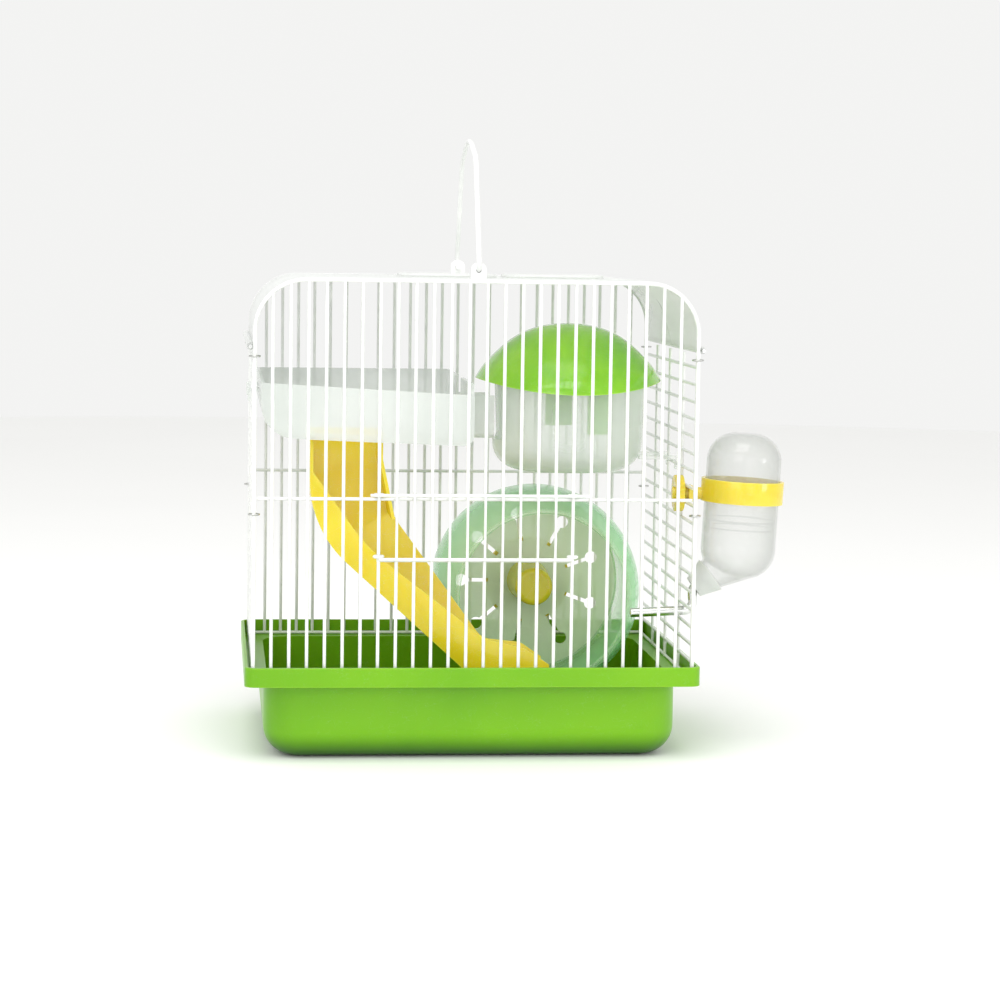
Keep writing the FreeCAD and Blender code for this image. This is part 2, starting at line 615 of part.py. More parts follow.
# ---------------------------------------------------------------- hut roof with brim
hat = newBody("hut_roof")
crown = size("roof_top")
reach = size("roof_radius") / 61.0
line = [(0, crown), (16.5 * reach, crown - 1.7), (28 * reach, crown - 5.6), (38 * reach, crown - 11.8),
        (45.5 * reach, crown - 18.6), (52 * reach, crown - 25.6), (57.5 * reach, crown - 34),
        (61 * reach, crown - 43.5)]
sketch = newSketch(hat, "hat_section", "XZ_Plane")
shellProfile(sketch, line, size("roof_wall"), -1)
revolve(hat, "hat_shell", sketch)
sketch = newSketch(hat, "brim_cut_outline", "XZ_Plane")
drop = crown - 41.6
rise = 9.0
chord = 64.0 * reach
arcR = (chord * chord + rise * rise) / (2 * rise)
angle = math.asin(chord / arcR)
arc = Part.ArcOfCircle(Part.Circle(V(0, drop + arcR, 0), V(0, 0, 1), arcR),
                       -math.pi / 2 - angle, -math.pi / 2 + angle)
a, b = arc.StartPoint, arc.EndPoint
joinPieces(sketch, [arc, Part.LineSegment(b, V(b.x, drop - 8, 0)),
                    Part.LineSegment(V(b.x, drop - 8, 0), V(a.x, drop - 8, 0)),
                    Part.LineSegment(V(a.x, drop - 8, 0), a)], True)
pocket(hat, "brim_cut", sketch, "200", symmetric=True)
tabTop = crown - 18.4
for k, (turn, tabWidth) in enumerate(((-70.5, 15), (90, 17))):
    sketch = newSketch(hat, "hat_tab%d_outline" % k, "XY_Plane", "%.4f" % (tabTop - 48))
    direction = V(math.cos(math.radians(turn)), math.sin(math.radians(turn)), 0)
    across = V(-direction.y, direction.x, 0)
    near0, near1 = radius - 6.4, radius - 4.8
    corner = [direction * near0 - across * (tabWidth / 2), direction * near1 - across * (tabWidth / 2),
              direction * near1 + across * (tabWidth / 2), direction * near0 + across * (tabWidth / 2)]
    corner = [(p.x, p.y) for p in corner]
    addPath(sketch, corner + [corner[0]])
    pad(hat, "hat_tab%d" % k, sketch, "48")
place(hat, x="Sizes.hut_shift")

# ---------------------------------------------------------------- slide
slide = newBody("slide_chute")
chuteTop = size("shelf_floor") + 3.4
wall = size("slide_wall")
under = [(chuteLeft, chuteTop), (chuteLeft, 133.8), (22, 26.5), (49, 22)]
underBends = {1: 68, 2: 60}
farTop = [(49, 50.5), (36, 59.5), (12, 62), (-46, 141), (chuteRight, 172), (chuteRight, chuteTop)]
nearTop = [(49, 52), (34, 62), (9, 68), (-62, 123), (chuteLeft, 171)]


def strip(name, outline, bends, start, length):
    sketch = newSketch(slide, name + "_outline", "XZ_Plane", "%.4f" % -start)
    addPath(sketch, outline + [outline[0]], bends)
    pad(slide, name, sketch, "%.4f" % length, reverse=True)


inside = offsetLine(under, wall)
bed = under + inside[::-1]
strip("chute_bed", bed, {1: 68, 2: 60, 5: 60 - wall, 6: 68 - wall}, near, width)
strip("chute_far_side", under + farTop, {1: 68, 2: 60, 5: 10, 6: 12, 7: 60, 8: 30}, near + width - wall, wall)
strip("chute_near_side", under[1:] + nearTop, {0: 68, 1: 60, 4: 10, 5: 18, 6: 110}, near, wall)
throat = [(-45.2, 140), (-48.4, 155), (chuteRight, 176), (chuteRight, chuteTop)]
back = offsetLine(throat, wall)
strip("chute_throat", throat + back[::-1], {}, near, width)

# ---------------------------------------------------------------- running wheel and its mount
turnToY = Rot(V(1, 0, 0), -90)
wheelLine = [(54.6, 0), (59.6, 10), (63.6, 24), (66, 48), (64.9, 70), (61.2, 84), (58.5, 87.8)]
scale = size("wheel_radius") / 66.0
stretch = (size("wheel_back") - size("wheel_front")) / 90.0
wheelLine = [(r * scale, size("wheel_front") + z * stretch) for r, z in wheelLine]
drum = newBody("wheel_drum")
sketch = newSketch(drum, "drum_section", "XZ_Plane")
shellProfile(sketch, wheelLine, size("wheel_wall"), 1)
revolve(drum, "drum_shell", sketch)
mouthR, mouthY = wheelLine[0]
sketch = newSketch(drum, "drum_lip_section", "XZ_Plane")
addCircle(sketch, mouthR - 0.6, mouthY + 0.4, "1.7")
revolve(drum, "drum_lip", sketch)
place(drum, x="Sizes.wheel_shift", z="Sizes.wheel_level", rotation=turnToY)

disc = newBody("wheel_disc")
discFront = wheelLine[-1][1] + 0.1
discRadius = wheelLine[-1][0]
boreRadius = size("axle_dia") / 2 + size("axle_play")
sketch = newSketch(disc, "disc_outline", "XY_Plane", "%.4f" % discFront)
addCircle(sketch, 0, 0, "%.4f" % discRadius)
addCircle(sketch, 0, 0, "Sizes.axle_dia / 2 + Sizes.axle_play")
pad(disc, "disc_plate", sketch, "2.1")
sketch = newSketch(disc, "keyhole_outline", "XY_Plane", "%.4f" % (discFront - 1))
holeR, slotHalf, holeAt, slotFrom = 4.0, 1.3, 44.0 * scale, 26.0 * scale
lean = math.asin(slotHalf / holeR)
eyeArc = Part.ArcOfCircle(Part.Circle(V(holeAt, 0, 0), V(0, 0, 1), holeR), -math.pi + lean, math.pi - lean)
a, b = eyeArc.StartPoint, eyeArc.EndPoint
joinPieces(sketch, [eyeArc, Part.LineSegment(b, V(slotFrom, slotHalf, 0)),
                    Part.LineSegment(V(slotFrom, slotHalf, 0), V(slotFrom, -slotHalf, 0)),
                    Part.LineSegment(V(slotFrom, -slotHalf, 0), a)], True)
keyhole = pocket(disc, "keyhole", sketch, "5", reverse=True)
ringOf(disc, "keyholes", keyhole, 9)
halfStep = Rot(V(0, 0, 1), 20)
place(disc, x="Sizes.wheel_shift", z="Sizes.wheel_level", rotation=turnToY.multiply(halfStep))

hub = newBody("wheel_hub")
hubFront, hubR = size("hub_front"), size("hub_radius")
sketch = newSketch(hub, "hub_section", "XZ_Plane")
addPath(sketch, [(0, hubFront), (hubR - 1, hubFront), (hubR + 0.8, discFront), (boreRadius, discFront),
                 (boreRadius, hubFront + 5), (0, hubFront + 5), (0, hubFront)], {1: 3.5})
revolve(hub, "hub_cap", sketch)
place(hub, x="Sizes.wheel_shift", z="Sizes.wheel_level", rotation=turnToY)

mount = newBody("wheel_mount")
plateFront = size("wheel_back") + 2.6
wallY = size("cage_halfdepth")
sketch = newSketch(mount, "axle_section", "XZ_Plane")
axleR = size("axle_dia") / 2
plateR = size("plate_radius")
addPath(sketch, [(0, hubFront + 6), (axleR, hubFront + 6), (axleR, plateFront), (plateR, plateFront),
                 (plateR, plateFront + 3.2), (13, plateFront + 3.2), (11, wallY - 1.4), (0, wallY - 1.4),
                 (0, hubFront + 6)])
revolve(mount, "axle_and_plate", sketch)
sketch = newSketch(mount, "clip_neck_outline", "XY_Plane", "Sizes.cage_halfdepth - 2")
centreX = (wireX(17) + wireX(18)) / 2 - size("wheel_shift")
neck = [(centreX - 3.6, -5), (centreX + 3.6, -5), (centreX + 3.6, 5), (centreX - 3.6, 5)]
addPath(sketch, neck + [neck[0]])
pad(mount, "clip_neck", sketch, "4.5")
sketch = newSketch(mount, "clip_cap_outline", "XY_Plane", "Sizes.cage_halfdepth + 1.4")
cap = [(centreX - 9, -6), (centreX + 9, -6), (centreX + 9, 6), (centreX - 9, 6)]
addPath(sketch, cap + [cap[0]], {0: 3, 1: 3, 2: 3, 3: 3})
pad(mount, "clip_cap", sketch, "2.2")
place(mount, x="Sizes.wheel_shift", z="Sizes.wheel_level", rotation=turnToY)

# ---------------------------------------------------------------- water bottle
leanAngle = size("bottle_lean")
leanTurn = Rot(V(0, 1, 0), leanAngle)
origin = V(size("bottle_shift"), size("bottle_row"), size("band_level"))


bottleR, wall = size("bottle_radius"), size("bottle_wall")
topLocal = size("bottle_top") - size("band_level")
lowCentre = size("bottle_low") - size("band_level")
footLocal = lowCentre - 19.0
neckDown = 40.0
along = V(-math.cos(math.radians(neckDown)), 0, -math.sin(math.radians(neckDown)))
neckTurn = Rot(V(0, 0, 1), along)


def alongNeck(distance):
    """Point on the axis of the neck, which leaves the body a little low."""
    return V(0, 0, lowCentre) + V(-along.z, 0, along.x) * size("neck_drop") + along * distance


def coneFeature(body, kind, name, r1, r2, start, length):
    cone = body.newObject("PartDesign::%sCone" % kind, name)
    cone.Radius1, cone.Radius2, cone.Height = r1, r2, length
    cone.Placement = FreeCAD.Placement(alongNeck(start), neckTurn)
    doc.recompute()
    return cone


bottle = newBody("bottle_shell")
sketch = newSketch(bottle, "bottle_outer", "XZ_Plane")
addPath(sketch, [(0, topLocal), (bottleR, topLocal), (bottleR, footLocal), (0, footLocal), (0, topLocal)],
        {1: 17, 2: 18})
revolve(bottle, "bottle_body", sketch)
coneFeature(bottle, "Additive", "neck_outer", 17.0, 8.4, 3.5, 24)
groove = bottle.newObject("PartDesign::Groove", "bottle_hollow")
sketch = newSketch(bottle, "bottle_inner", "XZ_Plane")
addPath(sketch, [(0, topLocal - wall), (bottleR - wall, topLocal - wall), (bottleR - wall, footLocal + wall),
                 (0, footLocal + wall), (0, topLocal - wall)], {1: 17 - wall, 2: 18 - wall})
groove.Profile = sketch
groove.ReferenceAxis = (sketch, ["V_Axis"])
groove.Angle = 360.0
doc.recompute()
coneFeature(bottle, "Subtractive", "neck_inner", 17.0 - wall * 1.3, 8.4 - wall, 3.5, 24.5)
place(bottle, "Sizes.bottle_shift", "Sizes.bottle_row", "Sizes.band_level", leanTurn)

capBody = newBody("bottle_cap")
coneFeature(capBody, "Additive", "cap_outer", 11.2, 6.8, 23.6, 12.6)
coneFeature(capBody, "Subtractive", "cap_socket", 10.3, 8.52, 22.6, 5.0)
coneFeature(capBody, "Subtractive", "cap_bore", 2.85, 2.85, 20, 20)
coneFeature(capBody, "Subtractive", "cap_flare", 2.85, 5.2, 33.0, 3.8)
place(capBody, "Sizes.bottle_shift", "Sizes.bottle_row", "Sizes.band_level", leanTurn)

neckEnd = origin + leanTurn.multVec(alongNeck(28.0))
neckOut = origin + leanTurn.multVec(alongNeck(37.4))
tubeR, boreR = size("tube_dia") / 2, size("tube_bore") / 2
ballR = size("ball_dia") / 2
tipX, tipZ, elbowX, elbowZ = size("spout_tip"), 83.7, 136.3, 85.5
tubeLine = [(neckEnd.x, neckEnd.z), (neckOut.x, neckOut.z), (elbowX, elbowZ), (tipX, tipZ)]
inwardX = V(elbowX - tipX, 0, elbowZ - tipZ).normalize()
lip = 0.4
openingR = ballR - 0.25
edges = [item.toShape() for item in roundedPath(tubeLine, {1: 5.0, 2: 5.5})]
path = Part.Wire(edges)
path.rotate(V(0, 0, 0), V(1, 0, 0), 90)
path.translate(V(0, size("bottle_row"), 0))
startPoint = V(neckEnd.x, size("bottle_row"), neckEnd.z)
startWay = V(neckOut.x - neckEnd.x, 0, neckOut.z - neckEnd.z).normalize()


def sweep(radius):
    ring = Part.Wire([Part.makeCircle(radius, startPoint, startWay)])
    return path.makePipeShell([ring], True, False)


tipPoint = V(tipX, size("bottle_row"), tipZ)
tube = sweep(tubeR).cut(sweep(boreR))
tube = tube.fuse(Part.makeCylinder(tubeR, lip, tipPoint, inwardX)).removeSplitter()
tube = tube.cut(Part.makeCylinder(openingR, 4, tipPoint - inwardX * 2, inwardX))
spout = doc.addObject("Part::Feature", "spout_tube")
spout.Label = "spout_tube"
spout.Shape = tube
exported.append(spout)

ball = doc.addObject("Part::Sphere", "spout_ball")
ball.Label = "spout_ball"
ball.setExpression("Radius", "Sizes.ball_dia / 2")
ballPlace = tipPoint + inwardX * (lip + math.sqrt(ballR ** 2 - openingR ** 2) + 0.06)
ball.Placement = FreeCAD.Placement(ballPlace, Rot())
exported.append(ball)

band = newBody("bottle_band")


def bandCylinder(kind, name, radius, spare):
    """Leaned with the bottle, centred on the band."""
    cylinder = band.newObject("PartDesign::%sCylinder" % kind, name)
    cylinder.setExpression("Radius", radius)
    cylinder.setExpression("Height", "Sizes.band_height + %g" % (2 * spare))
    start = leanTurn.multVec(V(0, 0, size("band_rise") - size("band_height") / 2 - spare))
    cylinder.Placement = FreeCAD.Placement(start, leanTurn)
    doc.recompute()


bandCylinder("Additive", "band_block", "Sizes.bottle_radius + 0.4 + Sizes.band_wall", 0)
sketch = newSketch(band, "stud_section", "YZ_Plane", "-Sizes.bottle_radius - 0.9")
addCircle(sketch, 0, 0, "Sizes.stud_dia / 2")
studEnd = halfCage - size("bottle_shift") - 8.0
pad(band, "stud", sketch, "%.4f" % (-size("bottle_radius") - 0.9 - studEnd), reverse=True)
sketch = newSketch(band, "stud_collar_outline", "YZ_Plane", "%.4f" % (halfCage - size("bottle_shift") + 1.4))
collarWide, collarHigh = 7.0, size("stud_dia") / 2 + 1.2
collar = [(-collarWide, -collarHigh), (collarWide, -collarHigh), (collarWide, collarHigh),
          (-collarWide, collarHigh)]
addPath(sketch, collar + [collar[0]], {0: 2.5, 1: 2.5, 2: 2.5, 3: 2.5})
pad(band, "stud_collar", sketch, "2.6")
bandCylinder("Subtractive", "band_hole", "Sizes.bottle_radius + 0.4", 3)
place(band, "Sizes.bottle_shift", "Sizes.bottle_row", "Sizes.band_level")

nut = newBody("band_nut")
sketch = newSketch(nut, "nut_outline", "YZ_Plane")
addCircle(sketch, 0, 0, "Sizes.nut_radius")
addCircle(sketch, 0, 0, "Sizes.stud_dia / 2 + 0.1")
pad(nut, "nut_disc", sketch, "5.2")
sketch = newSketch(nut, "nut_notch_outline", "YZ_Plane", "-1")
addCircle(sketch, size("nut_radius") + 1.6, 0, "3.4")
notch = pocket(nut, "nut_notch", sketch, "8", reverse=True)
pattern = nut.newObject("PartDesign::PolarPattern", "nut_notches")
pattern.Originals = [notch]
pattern.Axis = (planeOf(nut, "X_Axis"), [""])
pattern.Angle = 360
pattern.Occurrences = 2
nut.Tip = pattern
place(nut, "Sizes.wire_pitch * Sizes.wire_gaps / 2 - 6.7", "Sizes.bottle_row", "Sizes.band_level")

# ---------------------------------------------------------------- checks and export
doc.recompute()
for item in doc.Objects:
    assert "Invalid" not in item.State and "Error" not in item.State, item.Label + " did not build"
for item in exported:
    shape = item.Shape
    assert not shape.isNull() and shape.isValid(), item.Label + " has no valid shape"
for item in exported:
    shape = item.Shape
    box = shape.optimalBoundingBox()
    print("%-14s solids %2d volume %9.1f box %s" % (item.Label, len(shape.Solids), shape.Volume, box))
    shape.exportStep("parts/%s.step" % item.Label)
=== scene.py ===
import math

import bmesh
import bpy
from mathutils import Matrix, Vector


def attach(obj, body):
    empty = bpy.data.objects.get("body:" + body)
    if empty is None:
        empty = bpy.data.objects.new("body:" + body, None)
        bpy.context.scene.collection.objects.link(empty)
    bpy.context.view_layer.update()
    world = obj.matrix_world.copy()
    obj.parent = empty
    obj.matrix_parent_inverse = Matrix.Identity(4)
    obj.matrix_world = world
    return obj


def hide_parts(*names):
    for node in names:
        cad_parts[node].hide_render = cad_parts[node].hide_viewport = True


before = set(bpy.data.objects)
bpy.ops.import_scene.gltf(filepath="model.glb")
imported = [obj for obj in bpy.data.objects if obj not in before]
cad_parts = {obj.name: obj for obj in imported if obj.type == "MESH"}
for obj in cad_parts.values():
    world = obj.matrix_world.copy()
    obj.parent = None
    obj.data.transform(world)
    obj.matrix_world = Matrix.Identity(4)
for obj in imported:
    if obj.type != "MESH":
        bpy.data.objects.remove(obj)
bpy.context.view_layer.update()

print("cage frame loaded, pieces:", len(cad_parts))


def shade(red, green, blue):
    # 0-255 screen colour to the linear colour that the shaders work in
    linear = [(c / 255 / 12.92) if c < 11 else ((c / 255 + 0.055) / 1.055) ** 2.4 for c in (red, green, blue)]
    return (*linear, 1.0)


def rideAs(piece, body, slotName, *nodes):
    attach(piece, body)
    if nodes:
        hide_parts(*nodes)
    return piece


def finishPiece(bm, name, material, smoothAngle=40):
    # merged, turned outwards and shaded smooth up to the given corner angle
    bmesh.ops.remove_doubles(bm, verts=bm.verts, dist=0.00001)
    bmesh.ops.recalc_face_normals(bm, faces=bm.faces)
    mesh = bpy.data.meshes.new(name)
    bm.to_mesh(mesh)
    bm.free()
    mesh.materials.append(material)
    mesh.shade_smooth()
    mesh.set_sharp_from_angle(angle=math.radians(smoothAngle))
    piece = bpy.data.objects.new(name, mesh)
    bpy.context.scene.collection.objects.link(piece)
    return piece


# camera
cameraLook = {"spot": (-0.154, -1.713, 0.309), "yaw": 5.94, "pitch": 5.41, "roll": 0.82, "lens": 99.94}


def aimCamera():
    yaw, pitch, roll = (math.radians(cameraLook[k]) for k in ("yaw", "pitch", "roll"))
    ahead = Vector((math.sin(yaw) * math.cos(pitch), math.cos(yaw) * math.cos(pitch), -math.sin(pitch)))
    side = Vector((math.cos(yaw), -math.sin(yaw), 0))
    up = side.cross(ahead)
    right = side * math.cos(roll) + up * math.sin(roll)
    top = up * math.cos(roll) - side * math.sin(roll)
    data = bpy.data.cameras.new("cageCamera")
    data.lens = cameraLook["lens"]
    data.sensor_width = 36
    data.clip_start, data.clip_end = 0.05, 50
    camera = bpy.data.objects.new("cageCamera", data)
    turn = Matrix((right, top, -ahead)).transposed().to_4x4()
    camera.matrix_world = Matrix.Translation(cameraLook["spot"]) @ turn
    bpy.context.scene.collection.objects.link(camera)
    bpy.context.scene.camera = camera


aimCamera()
print("camera set")

# studio: pale floor, even white surround and four soft panels
studioLook = {
    "floorSize": 6.0, "floorTone": (0.95, 0.95, 0.94, 1), "floorCloud": (0.93, 0.93, 0.92, 1),
    "surround": (1.0, 1.0, 0.99, 1), "surroundPower": 0.9,
    "panels": {
        "keyPanel": {"spot": (-0.9, -1.9, 0.95), "size": 1.2, "power": 8},
        "topPanel": {"spot": (-0.2, -0.7, 1.6), "size": 1.2, "power": 13},
        "lowPanel": {"spot": (0.5, -2.1, 0.3), "size": 1.0, "power": 3},
        "edgePanel": {"spot": (1.3, -0.9, 0.35), "size": 0.35, "power": 3},
    },
}


def buildStudio():
    bm = bmesh.new()
    bmesh.ops.create_circle(bm, cap_ends=True, segments=64, radius=studioLook["floorSize"] / 2)
    bmesh.ops.translate(bm, verts=bm.verts, vec=(0, 0, -0.0003))
    material = bpy.data.materials.new("paleFloor")
    material.use_nodes = True
    nodes, links = material.node_tree.nodes, material.node_tree.links
    shader = nodes["Principled BSDF"]
    shader.inputs["Roughness"].default_value = 0.8
    coords = nodes.new("ShaderNodeTexCoord")
    cloud = nodes.new("ShaderNodeTexNoise")
    cloud.inputs["Scale"].default_value = 3.0
    ramp = nodes.new("ShaderNodeValToRGB")
    ramp.color_ramp.elements[0].color = studioLook["floorCloud"]
    ramp.color_ramp.elements[1].color = studioLook["floorTone"]
    links.new(coords.outputs["Object"], cloud.inputs["Vector"])
    links.new(cloud.outputs["Fac"], ramp.inputs["Fac"])
    links.new(ramp.outputs["Color"], shader.inputs["Base Color"])
    floor = finishPiece(bm, "studioFloor", material)
    world = bpy.data.worlds.new("whiteSurround")
    world.use_nodes = True
    background = world.node_tree.nodes["Background"]
    background.inputs["Color"].default_value = studioLook["surround"]
    background.inputs["Strength"].default_value = studioLook["surroundPower"]
    bpy.context.scene.world = world
    for name, panel in studioLook["panels"].items():
        data = bpy.data.lights.new(name, "AREA")
        data.shape, data.size, data.energy = "SQUARE", panel["size"], panel["power"]
        lamp = bpy.data.objects.new(name, data)
        lamp.location = panel["spot"]
        lamp.rotation_euler = (Vector((0, 0, 0.15)) - lamp.location).to_track_quat("-Z", "Y").to_euler()
        bpy.context.scene.collection.objects.link(lamp)
    bpy.context.scene.view_settings.view_transform = "Standard"


buildStudio()
print("studio set")


# shared shader groups: they give only masks, heights and colours
def startGroup(name, inputs, outputs):
    group = bpy.data.node_groups.new(name, "ShaderNodeTree")
    for label, kind, value in inputs:
        socket = group.interface.new_socket(name=label, in_out="INPUT", socket_type=kind)
        if value is not None:
            socket.default_value = value
    for label, kind in outputs:
        group.interface.new_socket(name=label, in_out="OUTPUT", socket_type=kind)
    return group, group.nodes.new("NodeGroupInput"), group.nodes.new("NodeGroupOutput")


def mathNode(tree, operation, first, second=None, third=None):
    node = tree.nodes.new("ShaderNodeMath")
    node.operation = operation
    for socket, value in zip(node.inputs, (first, second, third)):
        if isinstance(value, (int, float)):
            socket.default_value = value
        elif value is not None:
            tree.links.new(value, socket)
    return node.outputs[0]


def buildMouldGrain():
    # slow flow marks and a fine texture, as injection moulding leaves them
    group, entry, result = startGroup("mouldGrain", [
        ("Vector", "NodeSocketVector", None), ("Flow Scale", "NodeSocketFloat", 14.0),
        ("Grain Scale", "NodeSocketFloat", 900.0), ("Grain Share", "NodeSocketFloat", 0.35)],
        [("Flow", "NodeSocketFloat"), ("Height", "NodeSocketFloat")])
    flow = group.nodes.new("ShaderNodeTexNoise")
    flow.inputs["Detail"].default_value = 3.0
    flow.inputs["Distortion"].default_value = 0.6
    grain = group.nodes.new("ShaderNodeTexNoise")
    grain.inputs["Detail"].default_value = 2.0
    group.links.new(entry.outputs["Vector"], flow.inputs["Vector"])
    group.links.new(entry.outputs["Vector"], grain.inputs["Vector"])
    group.links.new(entry.outputs["Flow Scale"], flow.inputs["Scale"])
    group.links.new(entry.outputs["Grain Scale"], grain.inputs["Scale"])
    fine = mathNode(group, "MULTIPLY", grain.outputs["Fac"], entry.outputs["Grain Share"])
    group.links.new(flow.outputs["Fac"], result.inputs["Flow"])
    group.links.new(mathNode(group, "ADD", flow.outputs["Fac"], fine), result.inputs["Height"])
    return group


def buildScuffs():
    # short hairline scratches lying in two directions
    group, entry, result = startGroup("handlingScuffs", [
        ("Vector", "NodeSocketVector", None), ("Scale", "NodeSocketFloat", 60.0),
        ("Amount", "NodeSocketFloat", 0.5)], [("Mask", "NodeSocketFloat")])
    masks = []
    for turn, squeeze in ((0.6, (1, 14, 2)), (-0.9, (12, 1, 3))):
        mapping = group.nodes.new("ShaderNodeMapping")
        mapping.inputs["Rotation"].default_value = (turn * 0.5, 0.3, turn)
        mapping.inputs["Scale"].default_value = squeeze
        streak = group.nodes.new("ShaderNodeTexNoise")
        streak.inputs["Detail"].default_value = 4.0
        group.links.new(entry.outputs["Vector"], mapping.inputs["Vector"])
        group.links.new(mapping.outputs["Vector"], streak.inputs["Vector"])
        group.links.new(entry.outputs["Scale"], streak.inputs["Scale"])
        thin = mathNode(group, "ABSOLUTE", mathNode(group, "SUBTRACT", streak.outputs["Fac"], 0.5))
        line = group.nodes.new("ShaderNodeMapRange")
        line.inputs["From Min"].default_value, line.inputs["From Max"].default_value = 0.004, 0.0
        group.links.new(thin, line.inputs["Value"])
        masks.append(line.outputs["Result"])
    both = mathNode(group, "MAXIMUM", masks[0], masks[1])
    group.links.new(mathNode(group, "MULTIPLY", both, entry.outputs["Amount"]), result.inputs["Mask"])
    return group


def buildDust():
    # a little dust where the surface faces up
    group, entry, result = startGroup("settledDust", [
        ("Vector", "NodeSocketVector", None), ("Scale", "NodeSocketFloat", 45.0),
        ("Amount", "NodeSocketFloat", 0.3)], [("Mask", "NodeSocketFloat")])
    surface = group.nodes.new("ShaderNodeNewGeometry")
    split = group.nodes.new("ShaderNodeSeparateXYZ")
    patch = group.nodes.new("ShaderNodeTexNoise")
    patch.inputs["Detail"].default_value = 5.0
    group.links.new(surface.outputs["Normal"], split.inputs["Vector"])
    group.links.new(entry.outputs["Vector"], patch.inputs["Vector"])
    group.links.new(entry.outputs["Scale"], patch.inputs["Scale"])
    up = mathNode(group, "POWER", mathNode(group, "MAXIMUM", split.outputs["Z"], 0.0), 3.0)
    spread = mathNode(group, "MULTIPLY", up, patch.outputs["Fac"])
    group.links.new(mathNode(group, "MULTIPLY", spread, entry.outputs["Amount"]), result.inputs["Mask"])
    return group


def buildPaintedEdgeHighlight():
    # painted highlight: brighter along corners, where light catches the edge and shines through the plastic
    group, entry, result = startGroup("paintedEdgeHighlight", [
        ("Amount", "NodeSocketFloat", 1.0)], [("Mask", "NodeSocketFloat")])
    rounded = group.nodes.new("ShaderNodeBevel")
    rounded.samples = 4
    rounded.inputs["Radius"].default_value = 0.0012
    surface = group.nodes.new("ShaderNodeNewGeometry")
    compare = group.nodes.new("ShaderNodeVectorMath")
    compare.operation = "DOT_PRODUCT"
    group.links.new(rounded.outputs["Normal"], compare.inputs[0])
    group.links.new(surface.outputs["Normal"], compare.inputs[1])
    away = mathNode(group, "SUBTRACT", 1.0, compare.outputs["Value"])
    paintedGlow = mathNode(group, "MINIMUM", mathNode(group, "MULTIPLY", away, 6.0), 1.0)
    group.links.new(mathNode(group, "MULTIPLY", paintedGlow, entry.outputs["Amount"]), result.inputs["Mask"])
    return group


mouldGrain = buildMouldGrain()
handlingScuffs = buildScuffs()
settledDust = buildDust()
paintedEdgeHighlight = buildPaintedEdgeHighlight()
print("shared finishes ready")


# dust that every moulded piece gathers: its tone and how fine its patches are
dustLook = {"tone": (0.8, 0.78, 0.74, 1), "scale": 45.0}


def mixColour(tree, factor, first, second, blend="MIX"):
    node = tree.nodes.new("ShaderNodeMix")
    node.data_type, node.blend_type = "RGBA", blend
    for socket, value in ((node.inputs["Factor"], factor), (node.inputs[6], first), (node.inputs[7], second)):
        if isinstance(value, (int, float, tuple)):
            socket.default_value = value
        else:
            tree.links.new(value, socket)
    return node.outputs[2]


def placeGroup(tree, group, vector=None, **values):
    node = tree.nodes.new("ShaderNodeGroup")
    node.node_tree = group
    if vector is not None:
        tree.links.new(vector, node.inputs["Vector"])
    for label, value in values.items():
        node.inputs[label.replace("_", " ")].default_value = value
    return node


def mouldedPlastic(name, look):
    # plastic: two tones drifting into each other, grain, scuffs, dust and a painted highlight along the edges
    material = bpy.data.materials.new(name)
    material.use_nodes = True
    tree = material.node_tree
    shader = tree.nodes["Principled BSDF"]
    coords = tree.nodes.new("ShaderNodeTexCoord").outputs["Object"]
    grain = placeGroup(tree, mouldGrain, coords, Flow_Scale=look.get("flowScale", 14.0),
                       Grain_Scale=look.get("grainScale", 900.0), Grain_Share=look.get("grainShare", 0.35))
    scuffs = placeGroup(tree, handlingScuffs, coords, Scale=look.get("scuffScale", 60.0),
                        Amount=look.get("scuffs", 0.4))
    dust = placeGroup(tree, settledDust, coords, Scale=dustLook["scale"], Amount=look.get("dust", 0.15))
    drift = tree.nodes.new("ShaderNodeMapRange")
    drift.inputs["From Min"].default_value, drift.inputs["From Max"].default_value = 0.3, 0.7
    tree.links.new(grain.outputs["Flow"], drift.inputs["Value"])
    colour = mixColour(tree, drift.outputs["Result"], look["deep"], look["bright"])
    # painted highlight: the edge tone laid along the rounded corners
    if look.get("edges", 0) > 0:
        edges = placeGroup(tree, paintedEdgeHighlight, Amount=look["edges"])
        colour = mixColour(tree, edges.outputs["Mask"], colour, look["paintedEdgeTone"])
    colour = mixColour(tree, scuffs.outputs["Mask"], colour, look.get("scuffTone", (0.9, 0.9, 0.88, 1)))
    colour = mixColour(tree, dust.outputs["Mask"], colour, dustLook["tone"])
    tree.links.new(colour, shader.inputs["Base Color"])
    rough = mathNode(tree, "MULTIPLY_ADD", grain.outputs["Flow"], look.get("roughSpread", 0.12),
                     look["rough"] - look.get("roughSpread", 0.12) / 2)
    rough = mathNode(tree, "MULTIPLY_ADD", scuffs.outputs["Mask"], 0.3, rough)
    rough = mathNode(tree, "MULTIPLY_ADD", dust.outputs["Mask"], 0.5, rough)
    tree.links.new(rough, shader.inputs["Roughness"])
    bump = tree.nodes.new("ShaderNodeBump")
    bump.inputs["Strength"].default_value = look.get("bump", 0.25)
    bump.inputs["Distance"].default_value = look.get("bumpDepth", 0.0002)
    tree.links.new(grain.outputs["Height"], bump.inputs["Height"])
    tree.links.new(bump.outputs["Normal"], shader.inputs["Normal"])
    for label, value in look.get("shader", {}).items():
        shader.inputs[label].default_value = value
    return material


